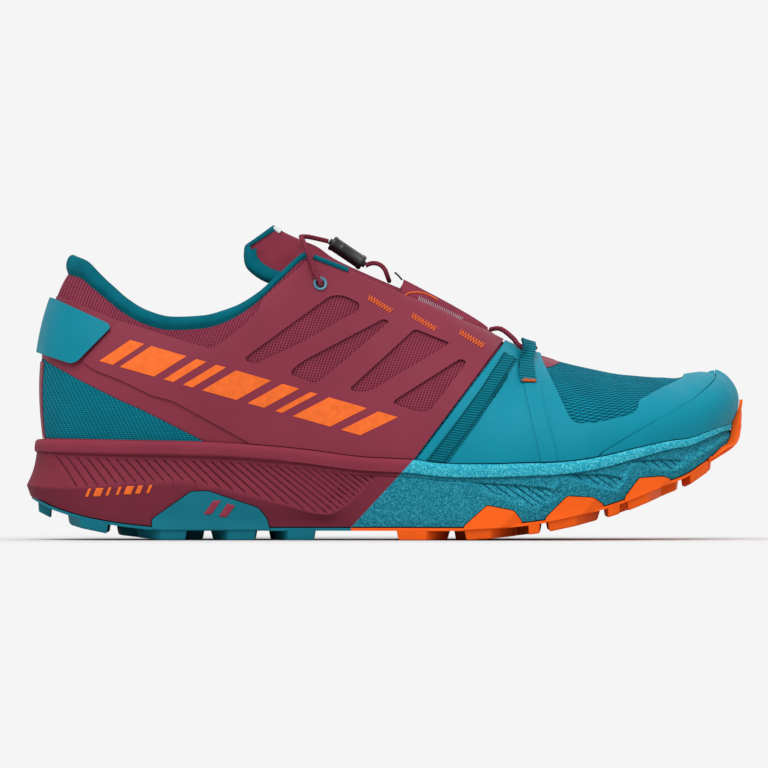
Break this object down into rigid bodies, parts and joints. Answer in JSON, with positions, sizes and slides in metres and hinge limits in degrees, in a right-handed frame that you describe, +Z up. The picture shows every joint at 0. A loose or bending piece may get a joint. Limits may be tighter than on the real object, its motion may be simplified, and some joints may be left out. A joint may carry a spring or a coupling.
{
  "type": "trail running shoe",
  "caption": "Right trail running shoe with a film and mesh upper, speed lace with cord lock, ribbed foam midsole and lugged rubber outsole.",
  "frame": {"origin": "on the floor, under the middle of the shoe's bounding box", "axes": "+X from heel to toe, +Y to the inner (medial) side, +Z up"},
  "size_m": [0.2794, 0.1011, 0.1218],
  "materials": {
    "maroon_foam": "foam with a fine skin, maroon at the rear and speckled teal in front",
    "teal_rubber": "matte moulded rubber",
    "orange_rubber": "matte moulded rubber",
    "grey_foam": "fabric-covered foam",
    "maroon_mesh": "open engineered mesh",
    "maroon_film": "welded film with a soft sheen",
    "teal_film": "welded film with a soft sheen",
    "teal_padding": "woven lining over foam, and webbing",
    "maroon_cord": "braided cord",
    "black_plastic": "moulded plastic"
  },
  "bodies": {
    "root": {"midsole": "maroon_foam", "outsole_heel": "teal_rubber", "outsole_forefoot": "orange_rubber", "insole": "grey_foam", "upper": "maroon_mesh", "forefoot_overlay": "teal_film", "toe_cap": "teal_film", "quarter_overlay_lateral": "maroon_film", "quarter_overlay_medial": "maroon_film", "heel_tab": "teal_film", "collar_rim": "teal_padding", "tongue": "maroon_mesh", "lace_pocket": "maroon_film", "eyelet_lateral": "teal_film", "eyelet_medial": "teal_film", "lace_loop_lateral": "teal_padding", "lace_loop_medial": "teal_padding", "lace": "maroon_cord", "lace_lead_lateral": "maroon_cord", "lace_lead_medial": "maroon_cord", "lace_tail": "maroon_cord", "cord_lock": "black_plastic"}
  },
  "joints": []
}
